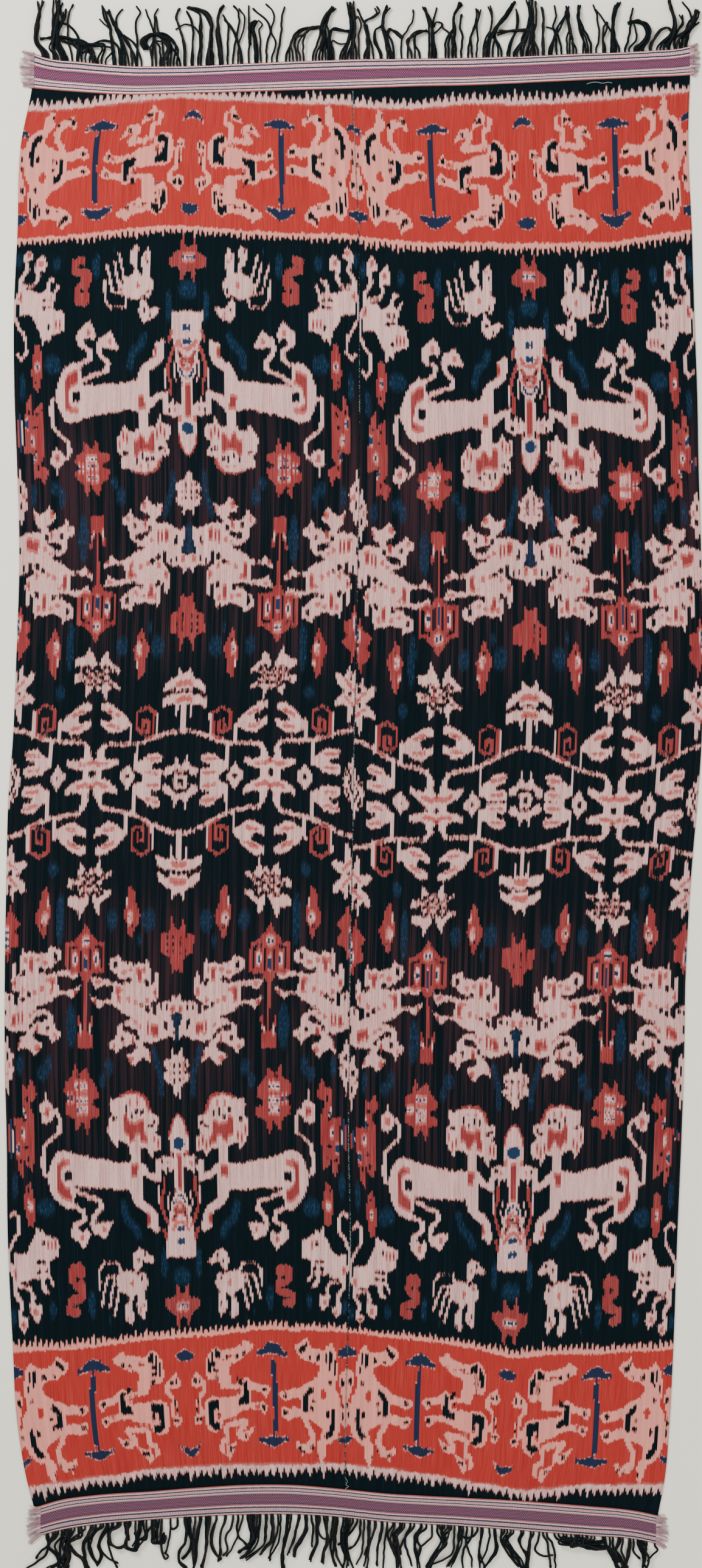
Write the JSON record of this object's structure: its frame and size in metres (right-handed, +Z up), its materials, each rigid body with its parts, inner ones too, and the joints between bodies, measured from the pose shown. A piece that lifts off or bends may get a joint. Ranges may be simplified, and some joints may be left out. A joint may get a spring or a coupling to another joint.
{
  "type": "ikat woven cloth",
  "caption": "Two-panel warp ikat mantle laid flat, with a woven band across each end and twisted warp fringe.",
  "frame": {"origin": "middle of the laid cloth's outline, on the surface it lies on", "axes": "+X across the cloth from its left edge to its right, +Y along the warp to the far end, +Z up"},
  "size_m": [1.1516, 2.6444, 0.0051],
  "materials": {
    "ikat_cloth": "matte warp-faced handspun cotton, dyed indigo and morinda red",
    "band_weave": "matte striped warp-faced band in pink, white and blue cotton",
    "dark_yarn": "matte two-ply twisted cotton yarn, near black",
    "pink_yarn": "matte loose cotton yarn ends, pink, blue and white"
  },
  "bodies": {
    "root": {"panel_left": "ikat_cloth", "panel_right": "ikat_cloth", "band_far": "band_weave", "band_near": "band_weave", "fringe_far": "dark_yarn", "fringe_near": "dark_yarn", "fray_far_left": "pink_yarn", "fray_far_right": "pink_yarn", "fray_near_left": "pink_yarn", "fray_near_right": "pink_yarn"}
  },
  "joints": []
}
